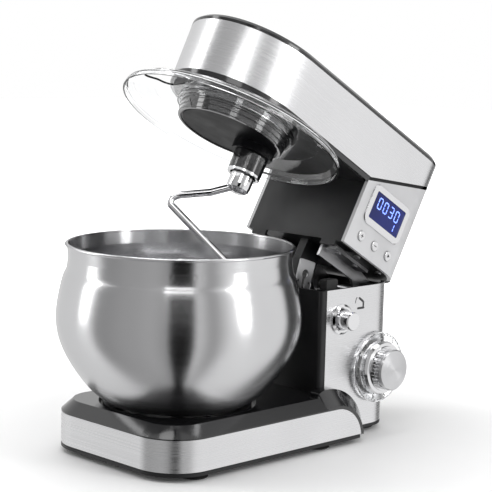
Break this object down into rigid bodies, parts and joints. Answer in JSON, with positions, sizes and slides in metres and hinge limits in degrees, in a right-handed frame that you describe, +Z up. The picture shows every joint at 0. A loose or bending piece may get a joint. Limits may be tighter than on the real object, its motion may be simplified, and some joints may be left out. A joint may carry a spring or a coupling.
{
  "type": "stand mixer",
  "caption": "Tilt-head stand mixer: steel bowl on a low base, column with speed dial and latch button, geared head with planetary dough hook and clear splash guard.",
  "frame": {"origin": "point on the table, level with the soles of the rubber feet, under the middle of the bounding box of the mixer with its head open; the bowl's axis is 98.8 mm from it towards -X", "axes": "+X from the bowl towards the column, -Y towards the side with the dial and display, +Z up; at rest the head is tilted fully open"},
  "size_m": [0.4285, 0.231, 0.4118],
  "materials": {
    "brushed_steel": "fine brushed grain",
    "bowl_steel": "polished outside with a fine turned grain",
    "black_gloss": "high gloss",
    "black_matte": "satin moulded",
    "silver_plastic": "satin metallic paint",
    "plated_plastic": "bright plated",
    "satin_metal": "spun satin",
    "chrome": "polished",
    "plated_steel": "zinc plated",
    "cast_alloy": "die cast",
    "core_iron": "laminated, varnished",
    "black_enamel": "satin black enamel",
    "nylon": "moulded",
    "rubber": "matte",
    "circuit_board": "solder mask",
    "screen_glass": "clear over a dark display",
    "clear_plastic": "clear"
  },
  "bodies": {
    "stand": {"base_tray": "black_gloss", "base_band": "brushed_steel", "base_bottom_cover": "black_matte", "rubber_feet": "rubber", "base_fasteners": "plated_steel", "bowl_seat_ring": "black_matte", "column_shell": "black_matte", "column_panel_left": "brushed_steel", "column_panel_right": "brushed_steel", "column_rear_cover": "black_matte", "cord_inlet_gland": "rubber", "hinge_frame": "plated_steel", "hinge_pin": "plated_steel", "head_rest_pads": "rubber", "control_board": "circuit_board", "speed_switch": "black_matte", "release_bezel": "chrome", "release_spring": "plated_steel"},
    "head": {"head_top_cover": "black_gloss", "head_steel_band": "brushed_steel", "head_trim_ring": "black_gloss", "head_lower_shell": "black_matte", "head_rear_cover": "black_matte", "head_base_plate": "black_matte", "keyhole_plate": "plated_steel", "head_hinge_bracket": "plated_steel", "display_panel": "silver_plastic", "plain_side_panel": "silver_plastic", "display_bezel": "plated_plastic", "display_glass": "screen_glass", "display_board": "circuit_board", "head_fasteners": "plated_steel", "motor_stator": "core_iron", "motor_end_frames": "cast_alloy", "drive_belt": "rubber", "gearbox_housing": "cast_alloy", "gearbox_cover": "plated_steel", "ring_gear": "plated_steel", "guard_collar": "plated_plastic"},
    "release": {"release_button": "chrome", "lock_shaft": "plated_steel"},
    "dial": {"dial_skirt": "clear_plastic", "dial_knob": "plated_plastic", "dial_cap": "satin_metal"},
    "bowl": {"mixing_bowl": "bowl_steel"},
    "planetary": {"planet_carrier": "black_enamel", "main_gear": "nylon"},
    "tool": {"tool_shaft": "plated_steel", "tool_sleeve": "black_gloss", "sleeve_ring": "chrome"},
    "layshaft": {"lay_shaft": "plated_steel", "belt_pulley": "black_matte"},
    "rotor": {"armature": "core_iron", "motor_pulley": "cast_alloy"},
    "hook": {"hook_hub": "chrome", "hook_rod": "chrome"},
    "guard": {"splash_guard": "clear_plastic"},
    "preset_1": {"preset_button_1": "plated_plastic"},
    "preset_2": {"preset_button_2": "plated_plastic"},
    "preset_3": {"preset_button_3": "plated_plastic"}
  },
  "joints": [
    {"name": "head_tilt", "type": "hinge", "parent": "stand", "child": "head", "pos_m": [0.1272, 0, 0.136], "axis": [0, 1, 0], "range_deg": [-30, 0]},
    {"name": "release_press", "type": "slide", "parent": "stand", "child": "release", "axis": [0, 1, 0], "range_m": [0, 0.006], "stiffness_N_per_m": 500, "springref_m": -0.004},
    {"name": "speed_dial", "type": "hinge", "parent": "stand", "child": "dial", "pos_m": [0.1087, -0.08, 0.066], "axis": [0, -1, 0], "range_deg": [-35, 205]},
    {"name": "bowl_lift", "type": "slide", "parent": "stand", "child": "bowl", "axis": [0, 0, 1], "range_m": [0, 0.03]},
    {"name": "preset_1_press", "type": "slide", "parent": "head", "child": "preset_1", "axis": [0, 1, 0], "range_m": [0, 0.001], "stiffness_N_per_m": 400, "springref_m": -0.001},
    {"name": "preset_2_press", "type": "slide", "parent": "head", "child": "preset_2", "axis": [0, 1, 0], "range_m": [0, 0.001], "stiffness_N_per_m": 400, "springref_m": -0.001},
    {"name": "preset_3_press", "type": "slide", "parent": "head", "child": "preset_3", "axis": [0, 1, 0], "range_m": [0, 0.001], "stiffness_N_per_m": 400, "springref_m": -0.001},
    {"name": "carrier_turn", "type": "hinge", "parent": "head", "child": "planetary", "pos_m": [-0.03652, 0, 0.30443], "axis": [0.5, 0, 0.866], "continuous": true},
    {"name": "tool_turn", "type": "hinge", "parent": "planetary", "child": "tool", "pos_m": [-0.01203, -0.01001, 0.29029], "axis": [0.5, 0, 0.866], "continuous": true},
    {"name": "layshaft_turn", "type": "hinge", "parent": "head", "child": "layshaft", "pos_m": [0.02894, 0, 0.31282], "axis": [0.5, 0, 0.866], "continuous": true},
    {"name": "rotor_turn", "type": "hinge", "parent": "head", "child": "rotor", "pos_m": [0.12369, 0, 0.21193], "axis": [0.5, 0, 0.866], "continuous": true},
    {"name": "hook_pull", "type": "slide", "parent": "tool", "child": "hook", "axis": [-0.5, 0, -0.866], "range_m": [0, 0.025]},
    {"name": "guard_pull", "type": "slide", "parent": "head", "child": "guard", "axis": [-0.5, 0, -0.866], "range_m": [0, 0.02]}
  ],
  "couplings": [
    {"joint": "tool_turn", "follows": "carrier_turn", "ratio": -3.8571},
    {"joint": "layshaft_turn", "follows": "carrier_turn", "ratio": -4},
    {"joint": "rotor_turn", "follows": "carrier_turn", "ratio": -19}
  ]
}
